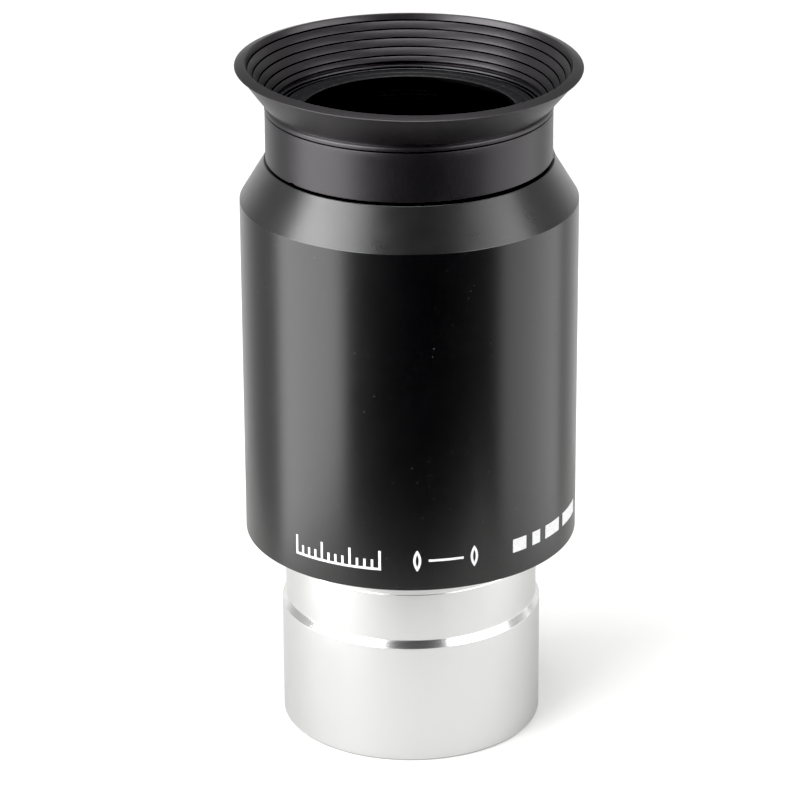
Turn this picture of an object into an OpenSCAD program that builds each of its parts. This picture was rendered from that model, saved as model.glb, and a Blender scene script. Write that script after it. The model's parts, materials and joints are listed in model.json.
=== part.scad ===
// Telescope eyepiece with a 1.25 inch push-fit barrel and a fold-down rubber eyecup.
// It stands on the open end of its barrel. The origin is the centre of that end,
// and +Z runs up the optical axis towards the eye.

/* [Barrel] */
// Outer diameter of the push-fit barrel
barrel_d = 31.75; // [31.6:0.01:31.75]
// Length from the open end to the shoulder of the housing
barrel_l = 24.9; // [23:0.1:30]
// Length of the full-diameter end
grip_l = 15.15; // [13:0.05:17]
// Depth of the safety undercut, on each side
undercut = 0.475; // [0.3:0.005:0.6]
// Height of the bevel between the full diameter and the undercut
bevel_h = 0.9; // [0.5:0.1:1.5]
// Minor diameter of the filter thread (M28.5 x 0.6)
filter_d = 27.85; // [27.8:0.01:27.9]
// Depth of the filter thread
filter_l = 4.5; // [3.5:0.1:6]
// Clear bore above the filter thread
bore_d = 27.2; // [27.1:0.05:27.5]
// Major diameter of the thread that joins the barrel to the housing
joint_thread_d = 30; // [29.8:0.1:30.2]
// Pitch of that thread
joint_pitch = 0.75; // [0.5:0.25:1]
// Turns needed to unscrew the barrel
joint_turns = 8; // [6:1:8]
// Depth of the recess in the housing's shoulder, where the barrel seats
seat_depth = 0.5; // [0.4:0.05:0.8]

/* [Field stop] */
// Clear diameter of the field stop
stop_d = 27; // [24:0.5:27]
// Outer diameter of the field stop ring
stop_ring_d = 28.4; // [28.2:0.1:28.6]
// Height of the field stop ring
stop_h = 1.8; // [1.2:0.1:2.2]

/* [Housing] */
// Outer diameter of the housing
body_d = 40.3; // [39:0.1:44]
// Length of the cylindrical part of the housing
body_l = 42.3; // [41:0.1:50]
// Height of the cone above it
cone_h = 4.85; // [4:0.05:6]
// Diameter at the top of the cone
cone_top_d = 34.4; // [34.2:0.1:36]
// Diameter of the neck that carries the eyecup
neck_d = 32; // [31.8:0.1:32.2]
// Height of the neck
neck_h = 6; // [5.8:0.1:6.2]
// Diameter of the light path inside the housing
cavity_d = 32.8; // [31:0.1:34]

/* [Lens cell] */
// Outer diameter of the cell's tube
cell_d = 29.8; // [29.6:0.1:30]
// Diameter of the cell's flange
flange_d = 30.6; // [30.5:0.1:30.6]
// Thickness of the cell's flange
flange_t = 1.6; // [1.2:0.1:1.8]
// Diameter of the cell's nose, inside the eye ring
nose_d = 27.9; // [27.9:0.05:28.1]
// Clear aperture at the eye lens
eye_d = 25.5; // [23:0.1:26]
// Thickness of the lip that holds the eye lens
lip_t = 0.8; // [0.6:0.1:1]

/* [Lenses] */
// Diameter of all four elements
glass_d = 27.4; // [27:0.1:27.4]
// Radius of the strong curves: both sides of each crown and the cemented side of each flint
strong_r = 29.3; // [28:0.1:34]
// Radius of the weak outer curve of each flint
weak_r = 187; // [150:1:240]
// Centre thickness of a crown element
crown_t = 8; // [7.8:0.1:8.4]
// Centre thickness of a flint element
flint_t = 2.2; // [2:0.1:2.6]
// Air gap between the two crowns at the axis
air_gap = 0.6; // [0.4:0.1:1]
// Thickness of the cement between a crown and its flint
cement_t = 0.03; // [0.02:0.01:0.05]

/* [Eyecup] */
// Outer diameter of the cuff that grips the neck
cuff_d = 34; // [33.6:0.1:34.2]
// Gap between the top of the cone and the cuff
cuff_gap = 0.4; // [0.3:0.1:0.6]
// Height of the flared part, from the fold line to the rim bead
flare_h = 4; // [3.2:0.1:4.2]
// Outer diameter of the waist at the fold line
waist_d = 32.9; // [32.8:0.1:33.1]
// Outer diameter of the rim bead
rim_d = 41; // [39:0.1:42]
// Inner diameter of the rim
rim_in_d = 38; // [37.8:0.1:38.4]
// Height of the rim bead
rim_h = 0.9; // [0.8:0.1:1.2]
// Number of steps moulded inside the flare, the rim's own wall included
step_count = 5; // [4:1:5]
// Width of each step
tread = 0.72; // [0.6:0.02:0.74]

/* [Fits] */
// Radial clearance of every turned fit
fit = 0.05; // [0.03:0.01:0.08]
// Small edge break on turned parts
edge = 0.25; // [0.15:0.05:0.35]

/* [Hidden] */
$fn = 120;
lens_fn = 300;

// Barrel, from the open end up
barrel_r = barrel_d / 2;
undercut_r = barrel_r - undercut;
spigot_r = joint_thread_d / 2 - fit;
seat_z = barrel_l + seat_depth;
spigot_l = joint_turns * joint_pitch + edge;
spigot_top = seat_z + spigot_l;
relief_l = 0.8;
relief_depth = 0.35;
relief_r = filter_d / 2 + relief_depth;

// Field stop, let into the top of the barrel
stop_ring_r = stop_ring_d / 2;
stop_floor = spigot_top - stop_h - edge;

// Housing
body_r = body_d / 2;
cone_z = barrel_l + body_l;
shelf_z = cone_z + cone_h;
neck_top = shelf_z + neck_h;
neck_r = neck_d / 2;

// Lens cell, hung from its flange near the top of the neck
cell_top = neck_top - 0.05;
nose_h = 2.4;
flange_top = cell_top - nose_h;
flange_z = flange_top - flange_t;
lip_z = cell_top - lip_t;

// Lens stack, from the eye side down
glass_r = glass_d / 2;
spacer_wall = 0.9;
spacer_in_r = glass_r - spacer_wall;
function sag(r, curve) = curve - sqrt(curve * curve - r * r);
strong_sag = sag(glass_r, strong_r);
eye_vertex = lip_z + sag(eye_d / 2, weak_r);
eye_cement = eye_vertex - flint_t;
eye_inner = eye_cement - cement_t - crown_t;
field_inner = eye_inner - air_gap;
field_cement = field_inner - crown_t;
field_vertex = field_cement - cement_t - flint_t;
spacer_top = eye_inner + sag(spacer_in_r, strong_r);
spacer_floor = field_inner - sag(spacer_in_r, strong_r);
ring_top = field_vertex + sag(spacer_in_r, weak_r);
ring_h = 2.4;
cell_skirt = 0.6;
cell_floor = ring_top - ring_h - cell_skirt;
cavity_clear = 1.5;
cavity_top = cell_floor - cavity_clear;

// Eyecup
cuff_r = cuff_d / 2;
cuff_in_r = neck_r + fit;
cuff_z = shelf_z + cuff_gap;
hook_z = neck_top + 0.1;
fold_z = neck_top + 0.85;
hook_in_r = neck_r - 0.3;
waist_r = waist_d / 2;
rim_r = rim_d / 2;
rim_in_r = rim_in_d / 2;
rim_z = fold_z + flare_h;
rim_top = rim_z + rim_h;
bead_r = rim_h / 2;
flare_power = 1.35;

// Width and depth of the spanner slots in the rings
slot_w = 1.6;
slot_h = 0.9;

// Turns an outline given as [radius, height] points about the optical axis
module turned(outline) {
    rotate_extrude()
        polygon(outline);
}

// Two spanner slots across the face of a ring, cut down from the given height
module spanner_slots(outer_r, face_z, depth) {
    translate([0, 0, face_z - depth / 2])
        cube([2 * outer_r, slot_w, depth], center = true);
}

// Crown element: both sides bulge by the strong curve
module crown(upper_z, lower_z) {
    intersection() {
        translate([0, 0, lower_z])
            cylinder(h = upper_z - lower_z, r = glass_r);
        translate([0, 0, upper_z - strong_r])
            sphere(r = strong_r, $fn = lens_fn);
        translate([0, 0, lower_z + strong_r])
            sphere(r = strong_r, $fn = lens_fn);
    }
}

module barrel() {
    color("#d9dadc")
        turned([
            [filter_d / 2 + edge, 0],
            [barrel_r - edge, 0],
            [barrel_r, edge],
            [barrel_r, grip_l],
            [undercut_r, grip_l + bevel_h],
            [undercut_r, seat_z],
            [spigot_r, seat_z],
            [spigot_r, spigot_top - edge],
            [spigot_r - edge, spigot_top],
            [stop_ring_r + fit, spigot_top],
            [stop_ring_r + fit, stop_floor],
            [bore_d / 2, stop_floor],
            [bore_d / 2, filter_l + relief_l],
            [relief_r, filter_l + relief_l],
            [relief_r, filter_l],
            [filter_d / 2, filter_l],
            [filter_d / 2, edge]
        ]);
}

module field_stop() {
    knife_h = 0.3;
    face_w = 0.35;
    color("#1c1c1e")
        difference() {
            turned([
                [stop_ring_r, stop_floor],
                [stop_ring_r, stop_floor + stop_h],
                [stop_ring_r - face_w, stop_floor + stop_h],
                [stop_d / 2, stop_floor + knife_h],
                [stop_d / 2, stop_floor]
            ]);
            spanner_slots(stop_ring_r, stop_floor + stop_h, slot_h);
        }
}

module housing() {
    thread_top = spigot_top + edge;
    seat_r = cell_d / 2 + fit;
    mouth_r = flange_d / 2 + fit;
    recess_r = barrel_r + 2 * fit;
    color("#232325")
        turned([
            [joint_thread_d / 2, seat_z],
            [recess_r, seat_z],
            [recess_r, barrel_l],
            [body_r - edge, barrel_l],
            [body_r, barrel_l + edge],
            [body_r, cone_z],
            [cone_top_d / 2, shelf_z],
            [neck_r, shelf_z],
            [neck_r, neck_top - edge],
            [neck_r - edge, neck_top],
            [mouth_r, neck_top],
            [mouth_r, flange_z],
            [seat_r, flange_z],
            [seat_r, cavity_top],
            [cavity_d / 2, cavity_top],
            [cavity_d / 2, thread_top],
            [joint_thread_d / 2, thread_top]
        ]);
}

module lens_cell() {
    bore_r = glass_r + fit / 2;
    color("#2a2a2d")
        turned([
            [bore_r, cell_floor],
            [cell_d / 2, cell_floor],
            [cell_d / 2, flange_z],
            [flange_d / 2, flange_z],
            [flange_d / 2, flange_top],
            [nose_d / 2, flange_top],
            [nose_d / 2, cell_top - edge],
            [nose_d / 2 - edge, cell_top],
            [eye_d / 2 + edge, cell_top],
            [eye_d / 2, cell_top - edge],
            [eye_d / 2, lip_z],
            [bore_r, lip_z]
        ]);
}

// Eye-side flint: weak curve on top, hollowed underneath to seat on its crown
module eye_lens_flint() {
    color("#9fb7a8", 0.5)
        difference() {
            intersection() {
                translate([0, 0, eye_cement - strong_sag])
                    cylinder(h = flint_t + strong_sag, r = glass_r);
                translate([0, 0, eye_vertex - weak_r])
                    sphere(r = weak_r, $fn = lens_fn);
            }
            translate([0, 0, eye_cement - strong_r])
                sphere(r = strong_r, $fn = lens_fn);
        }
}

module eye_lens_crown() {
    color("#b4c8d2", 0.5)
        crown(eye_inner + crown_t, eye_inner);
}

module lens_spacer() {
    color("#1c1c1e")
        turned([
            [spacer_in_r, spacer_floor],
            [glass_r, spacer_floor],
            [glass_r, spacer_top],
            [spacer_in_r, spacer_top]
        ]);
}

module field_lens_crown() {
    color("#b4c8d2", 0.5)
        crown(field_inner, field_cement);
}

// Field-side flint: weak curve underneath, hollowed on top to seat on its crown
module field_lens_flint() {
    color("#9fb7a8", 0.5)
        difference() {
            intersection() {
                translate([0, 0, field_vertex])
                    cylinder(h = flint_t + strong_sag, r = glass_r);
                translate([0, 0, field_vertex + weak_r])
                    sphere(r = weak_r, $fn = lens_fn);
            }
            translate([0, 0, field_cement - cement_t + strong_r])
                sphere(r = strong_r, $fn = lens_fn);
        }
}

module cell_ring() {
    ring_w = 1.3;
    color("#1c1c1e")
        difference() {
            turned([
                [glass_r - ring_w, ring_top - ring_h],
                [glass_r, ring_top - ring_h],
                [glass_r, ring_top],
                [spacer_in_r, ring_top]
            ]);
            spanner_slots(glass_r, ring_top - ring_h + slot_h, slot_h);
        }
}

module eye_ring() {
    color("#2f2f32")
        difference() {
            turned([
                [nose_d / 2 + fit, flange_top],
                [flange_d / 2, flange_top],
                [flange_d / 2, cell_top - edge],
                [flange_d / 2 - edge, cell_top],
                [nose_d / 2 + fit + edge, cell_top],
                [nose_d / 2 + fit, cell_top - edge]
            ]);
            spanner_slots(flange_d / 2, cell_top, slot_h);
        }
}

module eyecup_cuff() {
    slit_h = 0.16;
    slit_depth = 0.45;
    band_r = cuff_r - edge;
    color("#343536")
        turned([
            [cuff_in_r, cuff_z],
            [cuff_r - edge, cuff_z],
            [cuff_r, cuff_z + edge],
            [cuff_r, hook_z - slit_h],
            [cuff_r - slit_h, hook_z],
            [cuff_r - slit_depth, hook_z + slit_h / 2],
            [band_r, hook_z + slit_h],
            [band_r, fold_z - slit_h],
            [waist_r, fold_z],
            [hook_in_r, fold_z],
            [hook_in_r, hook_z],
            [cuff_in_r, hook_z]
        ]);
}

// Outer face of the flare: steep at the fold line and flat where it meets the rim
function flare_out(t) = [
    waist_r + (rim_r - bead_r - waist_r) * t,
    fold_z + flare_h * (1 - pow(1 - t, flare_power))
];

module eyecup_flare() {
    outer_steps = 12;
    last = step_count - 1;
    riser = flare_h / last;
    color("#343536")
        turned(concat(
            [for (i = [0 : outer_steps]) flare_out(i / outer_steps)],
            [[rim_in_r, rim_z]],
            [for (i = [last : -1 : 1], top = [0, 1])
                [rim_in_r - (last - i + 1) * tread, fold_z + (i - top) * riser]]
        ));
}

module eyecup_rim() {
    arc_steps = 8;
    color("#343536")
        turned(concat(
            [[rim_in_r, rim_z]],
            [for (i = [0 : arc_steps])
                let (a = -90 + 180 * i / arc_steps)
                [rim_r - bead_r + bead_r * cos(a), rim_z + bead_r + bead_r * sin(a)]],
            [[rim_in_r + edge, rim_top], [rim_in_r, rim_top - edge]]
        ));
}

barrel();
field_stop();
housing();
lens_cell();
eye_lens_flint();
eye_lens_crown();
lens_spacer();
field_lens_crown();
field_lens_flint();
cell_ring();
eye_ring();
eyecup_cuff();
eyecup_flare();
eyecup_rim();
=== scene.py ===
import json
import math

import bmesh
import bpy
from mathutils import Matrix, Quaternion, Vector


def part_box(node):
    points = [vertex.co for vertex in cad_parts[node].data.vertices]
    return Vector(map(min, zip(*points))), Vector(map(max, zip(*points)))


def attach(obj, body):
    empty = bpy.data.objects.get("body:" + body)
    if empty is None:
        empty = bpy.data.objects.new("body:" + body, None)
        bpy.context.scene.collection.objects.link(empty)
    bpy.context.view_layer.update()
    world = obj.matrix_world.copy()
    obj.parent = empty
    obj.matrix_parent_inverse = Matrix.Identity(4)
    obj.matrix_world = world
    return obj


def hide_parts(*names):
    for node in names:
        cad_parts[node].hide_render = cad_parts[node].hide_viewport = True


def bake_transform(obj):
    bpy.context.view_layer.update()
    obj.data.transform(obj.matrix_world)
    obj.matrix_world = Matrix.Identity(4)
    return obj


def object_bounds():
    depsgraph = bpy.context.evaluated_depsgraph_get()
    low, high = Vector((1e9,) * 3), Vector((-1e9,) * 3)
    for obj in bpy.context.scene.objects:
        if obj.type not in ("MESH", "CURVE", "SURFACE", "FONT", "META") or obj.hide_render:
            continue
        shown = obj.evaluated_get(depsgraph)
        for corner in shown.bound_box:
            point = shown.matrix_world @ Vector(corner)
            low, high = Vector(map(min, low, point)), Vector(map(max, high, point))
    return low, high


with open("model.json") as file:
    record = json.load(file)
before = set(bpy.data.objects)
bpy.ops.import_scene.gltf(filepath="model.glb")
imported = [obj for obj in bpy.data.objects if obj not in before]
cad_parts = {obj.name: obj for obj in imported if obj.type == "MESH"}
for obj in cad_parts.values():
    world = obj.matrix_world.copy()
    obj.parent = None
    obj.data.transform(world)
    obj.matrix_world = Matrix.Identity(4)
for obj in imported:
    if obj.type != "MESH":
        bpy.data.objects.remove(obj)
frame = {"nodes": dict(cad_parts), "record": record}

cad_low, cad_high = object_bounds()

# Barrel: the bright tube that pushes into a focuser, turned from aluminium bar and satin anodised.
# Its open end is threaded for filters, the bevel above is cut bright with a diamond tool, and the
# undercut above that stops the eyepiece slipping out. The threaded spigot on top screws into the housing.
MM = 0.001
AROUND = 256
mounts = {mount["name"]: mount for mount in frame["record"]["mounts"]}


def height_of(node, end):
    """Height in millimetres of a node's lower (0) or upper (1) end."""
    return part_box(node)[end].z / MM


def radius_of(node):
    """Outer radius of a node in millimetres."""
    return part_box(node)[1].x / MM


def eased(outline, radius=0.06, steps=3):
    """Rounds the corners of a closed (radius, height) outline; a third number gives a corner its own size."""
    rounded = []
    for i, point in enumerate(outline):
        corner = Vector(point[:2])
        back = Vector(outline[i - 1][:2]) - corner
        ahead = Vector(outline[(i + 1) % len(outline)][:2]) - corner
        reach = point[2] if len(point) > 2 else radius
        if reach == 0 or back.angle(-ahead) < math.radians(12):
            rounded.append(corner)
            continue
        near = corner + back.normalized() * min(reach, back.length * 0.45)
        far = corner + ahead.normalized() * min(reach, ahead.length * 0.45)
        for step in range(steps + 1):
            t = step / steps
            rounded.append(near * (1 - t) ** 2 + corner * 2 * t * (1 - t) + far * t * t)
    return rounded


def turn(name, outline, shift=None, around=AROUND):
    """Spins a closed outline, in millimetres, about the optical axis into one smooth solid.
    shift(radius, height, angle) gives each point's own change of radius and height."""
    points, faces = [], []
    rows = len(outline)
    for j in range(around):
        angle = 2 * math.pi * j / around
        for r, z in outline:
            dr, dz = shift(r, z, angle) if shift else (0, 0)
            points.append(((r + dr) * math.cos(angle) * MM, (r + dr) * math.sin(angle) * MM, (z + dz) * MM))
        ahead = (j + 1) % around
        for i in range(rows):
            k = (i + 1) % rows
            faces.append((j * rows + i, ahead * rows + i, ahead * rows + k, j * rows + k))
    return solid(name, points, faces)


def solid(name, points, faces, sharp=38):
    """A mesh object with its faces turned outwards, smooth up to the sharp angle in degrees."""
    mesh = bpy.data.meshes.new(name)
    mesh.from_pydata(points, [], faces)
    work = bmesh.new()
    work.from_mesh(mesh)
    bmesh.ops.recalc_face_normals(work, faces=work.faces)
    work.to_mesh(mesh)
    work.free()
    mesh.shade_smooth()
    mesh.set_sharp_from_angle(angle=math.radians(sharp))
    made = bpy.data.objects.new(name, mesh)
    bpy.context.scene.collection.objects.link(made)
    weighted = made.modifiers.new("weighted normals", "WEIGHTED_NORMAL")
    weighted.keep_sharp = True
    return made


class Finish:
    """A surface finish: one Principled shader, and short calls that wire detail into it."""

    def __init__(self, name, sockets):
        self.material = bpy.data.materials.new(name)
        self.material.use_nodes = True
        self.tree = self.material.node_tree
        self.shader = self.tree.nodes["Principled BSDF"]
        self.wire(self.shader, sockets)

    def wire(self, node, sockets):
        for socket, value in sockets.items():
            if isinstance(value, bpy.types.NodeSocket):
                self.tree.links.new(value, node.inputs[socket])
            else:
                node.inputs[socket].default_value = value
        return node

    def add(self, kind, sockets=None, **options):
        node = self.tree.nodes.new("ShaderNode" + kind)
        for option, value in options.items():
            setattr(node, option, value)
        return self.wire(node, sockets or {})

    def place(self, stretch=(1, 1, 1)):
        """Where a point lies on the piece, in the row frame, stretched along each axis."""
        where = self.add("TexCoord").outputs["Object"]
        return self.add("Mapping", {"Vector": where, "Scale": stretch}).outputs["Vector"]

    def grain(self, size, stretch=(1, 1, 1), detail=3.0, roughness=0.6):
        """Noise from 0 to 1 with features of that size in millimetres."""
        sockets = {"Vector": self.place(stretch), "Scale": 1 / (size * MM), "Detail": detail,
                   "Roughness": roughness}
        return self.add("TexNoise", sockets).outputs["Fac"]

    def spread(self, value, low, high, start=0.3, stop=0.7):
        """Maps a value that runs from start to stop onto low to high."""
        sockets = {"Value": value, "From Min": start, "From Max": stop, "To Min": low, "To Max": high}
        return self.add("MapRange", sockets).outputs["Result"]

    def tint(self, value, low, high, start=0.35, stop=0.65):
        """Blends two colours as the value runs from start to stop."""
        share = self.spread(value, 0, 1, start, stop)
        mix = self.add("Mix", {"Factor": share, "A": (*low, 1), "B": (*high, 1)}, data_type="RGBA")
        return mix.outputs["Result"]

    def relief(self, value, depth):
        """Bump of that depth in millimetres."""
        return self.add("Bump", {"Height": value, "Strength": 1.0, "Distance": depth * MM}).outputs["Normal"]

    def detail(self, **sockets):
        """Wires detail into the shader's own sockets, named with _ for a space."""
        self.wire(self.shader, {name.replace("_", " "): value for name, value in sockets.items()})
        return self.material


def dress(piece, *choices):
    """Gives a piece its finishes: the first all over, and each (finish, test) where the test of a face's
    middle radius and height, in millimetres, says so."""
    piece.data.materials.append(choices[0])
    for index, (material, test) in enumerate(choices[1:], 1):
        piece.data.materials.append(material)
        for face in piece.data.polygons:
            if test(math.hypot(face.center.x, face.center.y) / MM, face.center.z / MM):
                face.material_index = index


def thread(z, angle, low, high, pitch, depth, runout=0.4, flat=1.25):
    """Depth of a screw thread's groove at a point between two heights. It fades in and out over the runout,
    in pitches, and flat above 1 leaves a narrow flat at the root."""
    if not low < z < high:
        return 0
    groove = 1 - 2 * abs((z / pitch - angle / (2 * math.pi)) % 1 - 0.5)
    fade_in = min(1, (z - low) / (pitch * runout), (high - z) / (pitch * runout))
    return depth * fade_in * min(1, flat * groove)


def stations(low, high, step):
    """Evenly spaced heights from one to the other, for a wall that carries a thread."""
    count = max(1, round(abs(high - low) / step))
    return [low + (high - low) * i / count for i in range(count + 1)]


barrel_r = radius_of("barrel")
barrel_top = height_of("barrel", 1)
shoulder = height_of("housing", 0)
push_fit = mounts["focuser_barrel"]
grip_top = push_fit["pos_m"][2] / MM + push_fit["dims"]["length_mm"] / 2
edge = 0.25
undercut_r = barrel_r - 0.475
bevel_top = grip_top + 0.9
seat = shoulder + 0.5
tool_mark = shoulder - 2.8
mark_half = 0.08
mark_depth = 0.05
spigot_r = 14.95
spigot_relief = 0.2
filter_r = mounts["filter_thread"]["dims"]["r_mm"]
filter_top = 4.5
relief_r = filter_r + 0.35
relief_top = filter_top + 0.8
bore_r = 13.6
stop_floor = height_of("field_stop", 0)
stop_seat_r = radius_of("field_stop") + 0.05
filter_pitch = 0.6
joint_pitch = 0.75
thread_step = 0.075
groove_depth = 0.3
same_wall = 0.01


def barrel_threads(r, z, angle):
    """Grooves cut outwards in the filter bore and inwards in the spigot."""
    if abs(r - filter_r) < same_wall:
        return thread(z, angle, edge, filter_top, filter_pitch, groove_depth), 0
    if abs(r - spigot_r) < same_wall:
        return -thread(z, angle, seat + 0.3, barrel_top - edge, joint_pitch, groove_depth), 0
    return 0, 0


barrel_outline = eased([
    (filter_r + edge, 0),
    (barrel_r - edge, 0),
    (barrel_r, edge, 0.1),
    (barrel_r, grip_top, 0.04),
    (undercut_r, bevel_top, 0.04),
    (undercut_r, tool_mark - mark_half, 0.02),
    (undercut_r - mark_depth, tool_mark, 0.02),
    (undercut_r, tool_mark + mark_half, 0.02),
    (undercut_r, seat),
    (spigot_r, seat)]
    + [(spigot_r, z, 0) for z in stations(seat + spigot_relief, barrel_top - edge, thread_step)]
    + [(spigot_r - edge, barrel_top),
       (stop_seat_r, barrel_top),
       (stop_seat_r, stop_floor),
       (bore_r, stop_floor),
       (bore_r, relief_top),
       (relief_r, relief_top),
       (relief_r, filter_top)]
    + [(filter_r, z, 0) for z in stations(filter_top, edge, thread_step)])

barrel = turn("barrel_tube", barrel_outline, barrel_threads)

satin = Finish("satin_aluminium", {"Base Color": (0.84, 0.84, 0.84, 1), "Metallic": 1.0, "Roughness": 0.31})
lathe_lines = satin.grain(0.35, stretch=(0.02, 0.02, 1), detail=4)
handling = satin.grain(5, detail=4)
satin.detail(Roughness=satin.spread(handling, 0.28, 0.34),
             Normal=satin.relief(lathe_lines, 0.004))

mirror = Finish("diamond_cut_edge", {"Base Color": (0.93, 0.93, 0.93, 1), "Metallic": 1.0, "Roughness": 0.16})
tool_lines = mirror.grain(0.12, stretch=(0.02, 0.02, 1), detail=2)
mirror.detail(Roughness=mirror.spread(tool_lines, 0.17, 0.24), Normal=mirror.relief(tool_lines, 0.001))

blackened = Finish("blackened_bore", {"Base Color": (0.005, 0.005, 0.0052, 1), "Roughness": 0.55,
                                      "Specular IOR Level": 0.12})
blackened.detail(Roughness=blackened.spread(blackened.grain(1.2), 0.45, 0.65),
                 Normal=blackened.relief(blackened.grain(0.08), 0.006))

bevel_inset = 0.03
chamfer_reach = 0.4
bore_reach = 0.3
dress(barrel, satin.material,
      (mirror.material, lambda r, z: (grip_top + bevel_inset < z < bevel_top - bevel_inset
                                      and r > undercut_r - bevel_inset)),
      (mirror.material, lambda r, z: z < edge and r > barrel_r - chamfer_reach),
      (blackened.material, lambda r, z: r < stop_seat_r + bore_reach and z > filter_top))
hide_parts("barrel")
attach(barrel, "barrel")

# Inner rings: the field stop, a thin ring with a knife edge and two spanner slots let into the top of the
# barrel, the tube that spaces the two doublets, and the ring that closes the cell. All three are turned from
# aluminium and dyed matt black.
stop_black = Finish("dyed_matt_black", {"Base Color": (0.014, 0.014, 0.015, 1), "Roughness": 0.6})
dye = stop_black.grain(0.8)
stop_black.detail(Base_Color=stop_black.tint(dye, (0.010, 0.010, 0.011), (0.022, 0.022, 0.023)),
                  Roughness=stop_black.spread(stop_black.grain(0.5), 0.5, 0.7),
                  Normal=stop_black.relief(stop_black.grain(0.07), 0.006))
for name in ("field_stop", "lens_spacer", "cell_ring"):
    frame["nodes"][name].data.materials[0] = stop_black.material

# Housing: the black body that everything screws into, turned from aluminium bar, bead blasted and anodised
# satin black. Its cone leads up to the neck that carries the eyecup.
body_r = radius_of("housing")
neck_top = height_of("housing", 1)
cone_foot = shoulder + 42.3
cone_top_r = 17.2
shelf = cone_foot + 4.85
neck_r = 16.0
mouth_r = radius_of("lens_cell") + 0.05
cell_seat_r = 14.95
flange_floor = 74.0
cell_floor = height_of("lens_cell", 0)
cavity_top = cell_floor - 1.5
cavity_r = 16.4
joint_r = spigot_r + 0.05
joint_top = barrel_top + edge
recess_r = barrel_r + 0.1
foot_edge = 0.1


def housing_thread(r, z, angle):
    """The groove that the barrel's spigot screws into."""
    if abs(r - joint_r) < same_wall:
        return thread(z, angle, seat, joint_top, joint_pitch, groove_depth), 0
    return 0, 0


housing_outline = eased([
    (recess_r, seat),
    (recess_r, shoulder),
    (body_r - foot_edge, shoulder, 0.03),
    (body_r, shoulder + foot_edge, 0.03),
    (body_r, cone_foot, 0.05),
    (cone_top_r, shelf, 0.1),
    (neck_r, shelf),
    (neck_r, neck_top - edge, 0.1),
    (neck_r - edge, neck_top),
    (mouth_r, neck_top),
    (mouth_r, flange_floor),
    (cell_seat_r, flange_floor),
    (cell_seat_r, cavity_top),
    (cavity_r, cavity_top),
    (cavity_r, joint_top)]
    + [(joint_r, z, 0) for z in stations(joint_top, seat, thread_step)])

housing = turn("housing_body", housing_outline, housing_thread)

anodised = Finish("satin_black_anodised", {"Base Color": (0.003, 0.003, 0.0033, 1), "Roughness": 0.26,
                                           "Specular IOR Level": 0.75})
blast = anodised.grain(0.11, detail=2)
clouds = anodised.grain(3.5, detail=4)
lint = anodised.grain(0.3, detail=1)
anodised.detail(Base_Color=anodised.tint(lint, (0.003, 0.003, 0.0033), (0.06, 0.06, 0.06), 0.755, 0.785),
                Roughness=anodised.spread(clouds, 0.25, 0.27),
                Normal=anodised.relief(blast, 0.003))

cone_finish = Finish("blasted_black_cone", {"Base Color": (0.004, 0.004, 0.0045, 1), "Roughness": 0.29,
                                            "Specular IOR Level": 0.9})
cone_blast = cone_finish.grain(0.14, detail=2)
cone_finish.detail(Base_Color=cone_finish.tint(cone_blast, (0.0015, 0.0015, 0.0017), (0.004, 0.004, 0.0042)),
                   Roughness=cone_finish.spread(cone_finish.grain(2.5), 0.27, 0.31),
                   Normal=cone_finish.relief(cone_blast, 0.008))

inside_r = neck_r - edge - 0.2
end_gap = 0.1
dress(housing, anodised.material,
      (cone_finish.material, lambda r, z: z > cone_foot + 0.02),
      (blackened.material, lambda r, z: r < inside_r and seat + end_gap < z < neck_top - end_gap))
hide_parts("housing")
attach(housing, "housing")

# Marks: white ink pad-printed round the foot of the body. They are a scale, a picture of two doublets
# and a row of plain bars, drawn as thin strokes that lie on the curved wall.
ink_foot = shoulder + 2.7
ink_height = 2.35
ink_line = 0.3
ink_proud = 0.015
ink_step = 0.25
glass_curve = 2.0
near_face = 1.45
far_face = 1.9


def stroke(path, width=ink_line):
    """One printed stroke as a thin solid: path holds (distance round the body, height) points in millimetres,
    with distance 0 at the front."""
    fine = []
    for (u0, v0), (u1, v1) in zip(path, path[1:]):
        count = max(1, math.ceil(abs(u1 - u0) / ink_step))
        fine += [(u0 + (u1 - u0) * i / count, v0 + (v1 - v0) * i / count) for i in range(count)]
    fine.append(path[-1])
    points, faces = [], []
    for i, (u, v) in enumerate(fine):
        before, after = Vector(fine[max(i - 1, 0)]), Vector(fine[min(i + 1, len(fine) - 1)])
        along = (after - before).normalized()
        side = Vector((-along.y, along.x)) * width / 2
        for sign, r in ((1, body_r - ink_proud), (1, body_r + ink_proud), (-1, body_r + ink_proud),
                        (-1, body_r - ink_proud)):
            angle = (u + sign * side.x) / body_r - math.pi / 2
            points.append((r * math.cos(angle) * MM, r * math.sin(angle) * MM, (v + sign * side.y) * MM))
    for i in range(len(fine) - 1):
        a, b = 4 * i, 4 * i + 4
        faces += [(a + k, a + (k + 1) % 4, b + (k + 1) % 4, b + k) for k in range(4)]
    last = 4 * (len(fine) - 1)
    faces += [(3, 2, 1, 0), (last, last + 1, last + 2, last + 3)]
    return points, faces


def arc(centre_u, centre_v, radius, start, stop, count=20):
    """Points along an arc, with its angles in degrees."""
    angles = [math.radians(start + (stop - start) * i / count) for i in range(count + 1)]
    return [(centre_u + radius * math.cos(a), centre_v + radius * math.sin(a)) for a in angles]


def at_degrees(degrees):
    """Distance round the body of that bearing from the front."""
    return math.radians(degrees) * body_r


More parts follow.
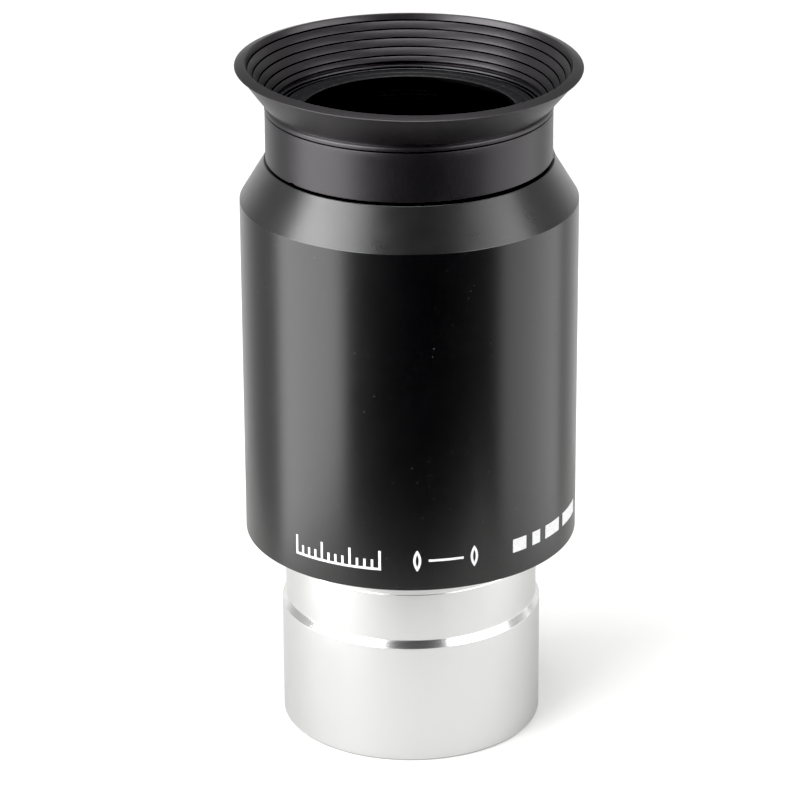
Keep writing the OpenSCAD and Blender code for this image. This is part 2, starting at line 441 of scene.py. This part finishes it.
strokes = []
scale_start = at_degrees(-42)
scale_stop = at_degrees(-10.5)
scale_ticks = 13
long_tick = 4
for i in range(scale_ticks):
    u = scale_start + (scale_stop - scale_start) * i / (scale_ticks - 1)
    tick = ink_height if i % long_tick == 0 else ink_height / 2
    strokes.append([(u, ink_foot), (u, ink_foot + tick)])
strokes.append([(scale_start - ink_line / 2, ink_foot), (scale_stop + ink_line / 2, ink_foot)])

middle = ink_foot + ink_height / 2
half_arc = math.degrees(math.asin(ink_height / 2 / glass_curve))
for centre, way, facing in ((at_degrees(1.5), 1, 0), (at_degrees(22.5), -1, 180)):
    swing = way * half_arc
    front = arc(centre - way * near_face, middle, glass_curve, facing - swing, facing + swing)
    back = arc(centre + way * far_face, middle, glass_curve, 180 - facing - swing, 180 - facing + swing)
    strokes += [front, back, [front[0], back[-1]], [front[-1], back[0]]]
strokes.append([(at_degrees(6), middle), (at_degrees(18), middle)])

bar_width = 1.7
bars = [[(at_degrees(start), middle), (at_degrees(stop), middle)]
        for start, stop in ((37, 43), (46, 50), (53, 62), (65, 78))]

points, faces = [], []
for path, width in [(path, ink_line) for path in strokes] + [(bar, bar_width) for bar in bars]:
    more_points, more_faces = stroke(path, width)
    faces += [tuple(len(points) + i for i in face) for face in more_faces]
    points += more_points
marks = solid("body_marks", points, faces)
ink = Finish("white_ink", {"Base Color": (0.85, 0.85, 0.85, 1), "Roughness": 0.5})
ink.detail(Base_Color=ink.tint(ink.grain(0.25), (0.72, 0.72, 0.73), (0.92, 0.92, 0.92)),
           Normal=ink.relief(ink.grain(0.1), 0.004))
marks.data.materials.append(ink.material)
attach(marks, "housing")

# Lens elements: two cemented doublets, ground and polished, with the flints outside and the crowns facing
# each other. The outer faces carry an antireflection coating, so they hardly reflect, and the ground rims
# are blackened. The glass is tinted almost black, painted shade for the dark view into the eyepiece.
glass_r = radius_of("eye_lens_flint")
strong_curve = 29.3
weak_curve = 187
cement_overlap = 0.04
flint_thick = 2.2
rim_band = 0.2


def dome(vertex, curve, reach, up, steps=24):
    """Points of a spherical face from its rim, at radius reach, in to the axis."""
    line = []
    for i in range(steps + 1):
        r = max(reach * (1 - i / steps), 0.02)
        fall = curve - math.sqrt(curve * curve - r * r)
        line.append((r, vertex - fall if up else vertex + fall))
    return line


def element(name, node, top, bottom, finish):
    """A glass disc between two faces, each (vertex height, curve radius, bulges up)."""
    upper = dome(top[0], top[1], glass_r, top[2])
    lower = dome(bottom[0], bottom[1], glass_r, bottom[2])
    lens = turn(name, upper + lower[::-1], around=192)
    dress(lens, finish.material,
          (glass_rim.material, lambda r, z: r > glass_r - rim_band))
    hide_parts(node)
    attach(lens, "housing")


# Both glasses are tinted almost black: painted shade, so that the lenses read dark.
flint = Finish("coated_flint", {"Base Color": (0.06, 0.065, 0.07, 1), "Transmission Weight": 1.0,
                                "Roughness": 0.0, "IOR": 1.035})
dust = flint.grain(0.35, detail=2)
flint.detail(Roughness=flint.spread(dust, 0.0, 0.08, 0.72, 0.8))
crown_glass = Finish("crown_glass", {"Base Color": (0.08, 0.085, 0.09, 1), "Transmission Weight": 1.0,
                                     "Roughness": 0.0, "IOR": 1.01})
crown_glass.detail(Roughness=crown_glass.spread(crown_glass.grain(0.4), 0.0, 0.02, 0.7, 0.8))
glass_rim = Finish("blackened_glass_rim", {"Base Color": (0.01, 0.01, 0.01, 1), "Roughness": 0.7})
glass_rim.detail(Roughness=glass_rim.spread(glass_rim.grain(0.3), 0.6, 0.8))

eye_vertex = height_of("eye_lens_flint", 1)
eye_cement = eye_vertex - flint_thick
eye_inner = height_of("eye_lens_crown", 0)
field_inner = height_of("field_lens_crown", 1)
field_vertex = height_of("field_lens_flint", 0)
field_cement = field_vertex + flint_thick
element("eye_flint", "eye_lens_flint", (eye_vertex, weak_curve, True),
        (eye_cement, strong_curve, True), flint)
element("eye_crown", "eye_lens_crown", (eye_cement + cement_overlap, strong_curve, True),
        (eye_inner, strong_curve, False), crown_glass)
element("field_crown", "field_lens_crown", (field_inner, strong_curve, True),
        (field_cement - cement_overlap, strong_curve, False), crown_glass)
element("field_flint", "field_lens_flint", (field_cement, strong_curve, False),
        (field_vertex, weak_curve, False), flint)

# Lens cell: the black tube that holds all four elements and hangs by its flange in the neck. It is turned
# from aluminium and dyed, its bore is matt black, and the edge of its opening is a lighter black, a painted
# highlight.
cell_r = 14.9
nose_r = 13.95
nose_edge = 0.08
cell_top = neck_top - 0.05
flange_top = 75.6
eye_r = 12.75
lip = cell_top - 0.8
lip_break = 0.12
cell_bore_r = glass_r + 0.025
flange_r = mouth_r - 0.05
lens_cell = turn("cell_tube", eased([
    (cell_bore_r, cell_floor),
    (cell_r, cell_floor),
    (cell_r, flange_floor),
    (flange_r, flange_floor),
    (flange_r, flange_top),
    (nose_r, flange_top),
    (nose_r, cell_top - nose_edge, 0.02),
    (nose_r - nose_edge, cell_top, 0.02),
    (eye_r + lip_break, cell_top, 0.03),
    (eye_r, cell_top - lip_break, 0.03),
    (eye_r, lip, 0.03),
    (cell_bore_r, lip)]))
ring_black = Finish("turned_ring_black", {"Base Color": (0.012, 0.012, 0.013, 1), "Roughness": 0.45,
                                          "Specular IOR Level": 0.22})
ring_lines = ring_black.grain(0.1, stretch=(1, 1, 0.1), detail=3)
specks = ring_black.grain(0.22, detail=1)
ring_black.detail(Base_Color=ring_black.tint(specks, (0.008, 0.008, 0.009), (0.14, 0.14, 0.14), 0.72, 0.76),
                  Roughness=ring_black.spread(ring_black.grain(1.1), 0.40, 0.54),
                  Normal=ring_black.relief(ring_lines, 0.004))
# A lighter black on the edge of the opening: painted highlight for the bright line on the lip.
lip_highlight = Finish("worn_edge", {"Base Color": (0.02, 0.02, 0.02, 1), "Roughness": 0.5, "Specular IOR Level": 0.2})
lip_highlight.detail(Base_Color=lip_highlight.tint(lip_highlight.grain(0.6), (0.008, 0.008, 0.008), (0.03, 0.03, 0.03)),
            Roughness=lip_highlight.spread(lip_highlight.grain(0.3), 0.42, 0.6))
dress(lens_cell, ring_black.material,
      (lip_highlight.material, lambda r, z: z > cell_top - lip_break and r < eye_r + lip_break),
      (blackened.material, lambda r, z: r < glass_r + rim_band and z < cell_top - lip_break))
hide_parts("lens_cell")
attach(lens_cell, "housing")

# Eye ring: the threaded ring that clamps the cell in the neck, turned and dyed black, with two slots
# for a pin spanner.
frame["nodes"]["eye_ring"].data.materials[0] = ring_black.material

# Eyecup: one soft black rubber moulding. Its cuff grips the neck, it folds at the waist, and the inside of
# the flare has fine moulded grooves. A little flash is left at the foot of the cuff.
cuff_foot = height_of("eyecup_cuff", 0)
cuff_r = radius_of("eyecup_cuff")
fold = height_of("eyecup_cuff", 1)
rim_r = radius_of("eyecup_rim")
rim_foot = height_of("eyecup_rim", 0)
rim_top = height_of("eyecup_rim", 1)
cuff_in_r = neck_r + 0.05
cuff_edge = 0.12
hook_r = 15.7
hook_foot = fold - 0.75
step_r = 16.2
collar = fold - 0.55
collar_cut = 0.28
crease = Vector((16.95, fold + 0.25))
flare_top = Vector((rim_r - 0.45, rim_top - 0.75))
flare_bulge = 0.06
lip_in_r = 19.0
inner_edge = Vector((16.0, fold - 0.1))
groove_top = Vector((lip_in_r - 0.05, rim_top - 0.86))
groove_foot = Vector((16.4, fold + 0.48))
groove_count = 5
groove_wide = 0.17
groove_deep = 0.34
groove_ease = 0.03

flare_steps = 10
flare_line = []
for i in range(1, flare_steps + 1):
    t = i / flare_steps
    at = crease.lerp(flare_top, t)
    flare_line.append((at.x + flare_bulge * math.sin(math.pi * t), at.y, 0))

slope = (groove_foot - groove_top).normalized()
into_wall = Vector((-slope.y, slope.x))
grooved_line = []
for i in range(groove_count):
    at = groove_top.lerp(groove_foot, i / (groove_count - 1))
    for point in (at - slope * groove_wide / 2, at + into_wall * groove_deep, at + slope * groove_wide / 2):
        grooved_line.append((point.x, point.y, groove_ease))

# A soft moulding is never quite round or flat. Each wave round the cup is (how many, cosine part, sine part).
rim_lean = ((0, 0.06, 0), (1, -0.21, 0.10), (2, 0.045, 0.09))
ripple = ((3, 0.02 * math.sin(0.7), 0.02 * math.cos(0.7)), (7, 0.01 * math.sin(2), 0.01 * math.cos(2)))
foot_settle = ((0, -0.20, 0), (1, 0.10, 0))
foot_band = 1.5
foot_edge_band = 0.7
cuff_skin = 0.3
flash_bearing = -2
flash_wide = 6
flash_out = 0.4
nick_bearing = 217
nick_wide = 2
nick_deep = 0.22

cup_outline = eased([
    (cuff_in_r, cuff_foot),
    (cuff_r - cuff_edge, cuff_foot, 0.1),
    (cuff_r, cuff_foot + cuff_edge, 0.1)]
    + [(cuff_r, z, 0) for z in stations(cuff_foot + 0.3, cuff_foot + foot_band, 0.2)]
    + [(cuff_r, z, 0) for z in stations(cuff_foot + 2, collar - 1, 0.6)]
    + [(cuff_r, collar - 0.08, 0.06),
       (cuff_r - collar_cut, collar + 0.02, 0.02),
       (cuff_r + 0.05, collar + 0.12, 0.05),
       (cuff_r + 0.02, crease.y - 0.25, 0.12),
       (crease.x - 0.16, crease.y - 0.03, 0.03)]
    + flare_line
    + [(rim_r - 0.36, rim_top - 0.64, 0.05),
       (rim_r - 0.05, rim_top - 0.58, 0.05),
       (rim_r, rim_top - 0.46, 0.04),
       (rim_r - 0.06, rim_top - 0.39, 0.04),
       (lip_in_r + 0.85, rim_top - 0.19, 0.1),
       (lip_in_r + 0.28, rim_top - 0.07, 0.08)]
    + grooved_line
    + [(inner_edge.x, inner_edge.y, 0.05),
       (step_r, fold - 0.28, 0.05),
       (step_r, fold - 0.48, 0.03),
       (hook_r + 0.08, fold - 0.56, 0.03),
       (hook_r, hook_foot, 0.05),
       (cuff_in_r, hook_foot)])


def bump_at(angle, centre, width):
    """One at that bearing in degrees, falling to nothing within the width."""
    off = (math.degrees(angle) - centre + 180) % 360 - 180
    return max(0, 1 - abs(off) / width)


def waves(terms, angle):
    """The sum of the waves at that bearing, in radians."""
    return sum(cosine * math.cos(n * angle) + sine * math.sin(n * angle) for n, cosine, sine in terms)


def rubber_shape(r, z, angle):
    """The flare leans and ripples a little, the cuff sits lower on one side, and its foot has a nick and
    a tab of flash."""
    up_flare = min(1, max(0, (z - fold) / (rim_foot - fold)))
    down_foot = min(1, max(0, (cuff_foot + foot_band - z) / foot_band))
    at_foot = max(0, 1 - (z - cuff_foot) / foot_edge_band)
    dr = waves(ripple, angle) * up_flare
    if r > cuff_r - cuff_skin:
        dr += flash_out * bump_at(angle, flash_bearing, flash_wide) * at_foot
    dz = waves(rim_lean, angle) * up_flare + waves(foot_settle, angle) * down_foot
    return dr, dz + nick_deep * bump_at(angle, nick_bearing, nick_wide) * at_foot


eyecup = turn("rubber_eyecup", cup_outline, rubber_shape, around=320)
rubber = Finish("moulded_rubber", {"Base Color": (0.006, 0.006, 0.006, 1), "Roughness": 0.36,
                                   "Specular IOR Level": 0.65, "Specular Tint": (1.0, 0.95, 0.99, 1)})
bloom = rubber.grain(6, detail=5)
pores = rubber.grain(0.16, detail=3)
rubber.detail(Base_Color=rubber.tint(bloom, (0.003, 0.0028, 0.0031), (0.005, 0.0047, 0.0052)),
              Roughness=rubber.spread(pores, 0.31, 0.41),
              Normal=rubber.relief(pores, 0.012))
dress(eyecup, rubber.material)
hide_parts("eyecup_cuff", "eyecup_flare", "eyecup_rim")
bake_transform(eyecup)

# Table: a plain pale sheet. A small card under the eyepiece stands in for it in reflections, so that the
# bright barrel mirrors white and the body above it mirrors the dim room.
def sheet(name, half, drop, grey):
    """A square sheet of paper reaching half its width to each side, that far under the table top."""
    paper = Finish(name + "_paper", {"Base Color": (*grey, 1), "Roughness": 0.9, "Specular IOR Level": 0.1})
    paper.detail(Normal=paper.relief(paper.grain(1.5), 0.01))
    corners = [(-half, -half, -drop), (half, -half, -drop), (half, half, -drop), (-half, half, -drop)]
    made = solid(name, corners, [(0, 1, 2, 3)])
    made.data.materials.append(paper.material)
    return made


table = sheet("table", 3, 0, (0.84, 0.84, 0.835))
table.visible_glossy = False
table.visible_diffuse = False
table.visible_shadow = False
card = sheet("card", 0.073, 0.0003, (0.52, 0.52, 0.51))
card.visible_camera = False

# Light: a large soft box on the left and a smaller, dimmer one on the right, each with a weaker one below the
# table's level that only shows in reflections, one overhead and a faint one in front. The room is dark in
# front and has a pale wall behind, which dims towards its top.
half_height = Vector((0, 0, (cad_low.z + cad_high.z) / 2))


def soft_box(name, bearing, distance, low, high, wide, radiance):
    """An upright light between two heights, of that brightness, its bearing in degrees from the front."""
    lamp = bpy.data.lights.new(name, "AREA")
    lamp.shape = "RECTANGLE"
    lamp.size = wide
    lamp.size_y = high - low
    lamp.energy = radiance * math.pi * wide * (high - low)
    box = bpy.data.objects.new(name, lamp)
    bpy.context.scene.collection.objects.link(box)
    bearing = math.radians(bearing)
    box.location = (distance * math.sin(bearing), -distance * math.cos(bearing), (low + high) / 2)
    box.rotation_mode = "QUATERNION"
    box.rotation_quaternion = Vector((-box.location.x, -box.location.y, 0)).to_track_quat("-Z", "Y")
    return box


soft_box("left_box", bearing=-58, distance=0.70, low=0.04, high=0.62, wide=0.82, radiance=7.8)
soft_box("left_low_box", bearing=-72, distance=0.70, low=-0.60, high=0.02, wide=0.70, radiance=3.1)
soft_box("right_box", bearing=62, distance=0.70, low=0.04, high=0.52, wide=0.72, radiance=4.0)
soft_box("right_low_box", bearing=93, distance=0.70, low=-0.60, high=0.02, wide=0.78, radiance=1.3)
soft_box("front_wall", bearing=3, distance=0.90, low=0.15, high=0.80, wide=1.00, radiance=0.04)
top_box = soft_box("top_box", bearing=0, distance=0.10, low=0.60, high=1.20, wide=0.60, radiance=6.5)
top_box.rotation_quaternion = (half_height - top_box.location).to_track_quat("-Z", "Y")

world = bpy.data.worlds.new("room")
bpy.context.scene.world = world
world.use_nodes = True
room = world.node_tree
heading = room.nodes.new("ShaderNodeSeparateXYZ")
room.links.new(room.nodes.new("ShaderNodeTexCoord").outputs["Generated"], heading.inputs[0])


def fade(axis, start, stop, low, high):
    """A share that runs from low to high as a direction's axis goes from start to stop."""
    node = room.nodes.new("ShaderNodeMapRange")
    for socket, value in (("From Min", start), ("From Max", stop), ("To Min", low), ("To Max", high)):
        node.inputs[socket].default_value = value
    room.links.new(heading.outputs[axis], node.inputs["Value"])
    return node.outputs["Result"]


walls = room.nodes.new("ShaderNodeValToRGB")
room.links.new(fade("Y", -1, 1, 0, 1), walls.inputs["Fac"])
walls.color_ramp.elements[0].color = (0.02, 0.02, 0.02, 1)
for share, grey in ((0.4, 0.03), (0.6, 0.42), (0.78, 0.45), (0.92, 1.0)):
    walls.color_ramp.elements.new(share).color = (grey, grey, grey, 1)

upper_back = room.nodes.new("ShaderNodeMath")
upper_back.operation = "MULTIPLY"
room.links.new(fade("Y", 0.60, 0.85, 0, 0.75), upper_back.inputs[0])
room.links.new(fade("Z", 0.08, 0.28, 0, 1), upper_back.inputs[1])
strength = room.nodes.new("ShaderNodeMath")
strength.operation = "SUBTRACT"
strength.inputs[0].default_value = 1
room.links.new(upper_back.outputs[0], strength.inputs[1])
background = room.nodes["Background"]
room.links.new(walls.outputs["Color"], background.inputs["Color"])
room.links.new(strength.outputs[0], background.inputs["Strength"])

# Camera: about half a metre away and looking down on the eyepiece, with a long lens.
camera_back = 0.43725
camera_rise = 0.22310
aim_left = -0.00123
aim_height = 0.04093
tilt = math.radians(-0.296)
long_lens = bpy.data.cameras.new("camera")
long_lens.lens = 175.86
long_lens.sensor_width = 36
long_lens.clip_start = 0.01
long_lens.clip_end = 20
camera = bpy.data.objects.new("camera", long_lens)
bpy.context.scene.collection.objects.link(camera)
camera.location = (0, -camera_back, camera_rise)
camera.rotation_mode = "QUATERNION"
line_of_sight = Vector((aim_left, 0, aim_height)) - camera.location
camera.rotation_quaternion = line_of_sight.to_track_quat("-Z", "Y") @ Quaternion((0, 0, 1), tilt)
bpy.context.scene.camera = camera

# Exposure: a plain display curve whose darkest shadows fall to black.
film = bpy.context.scene.view_settings
film.view_transform = "Standard"
film.use_curve_mapping = True
film.curve_mapping.black_level = (0.007, 0.007, 0.007)
film.curve_mapping.update()
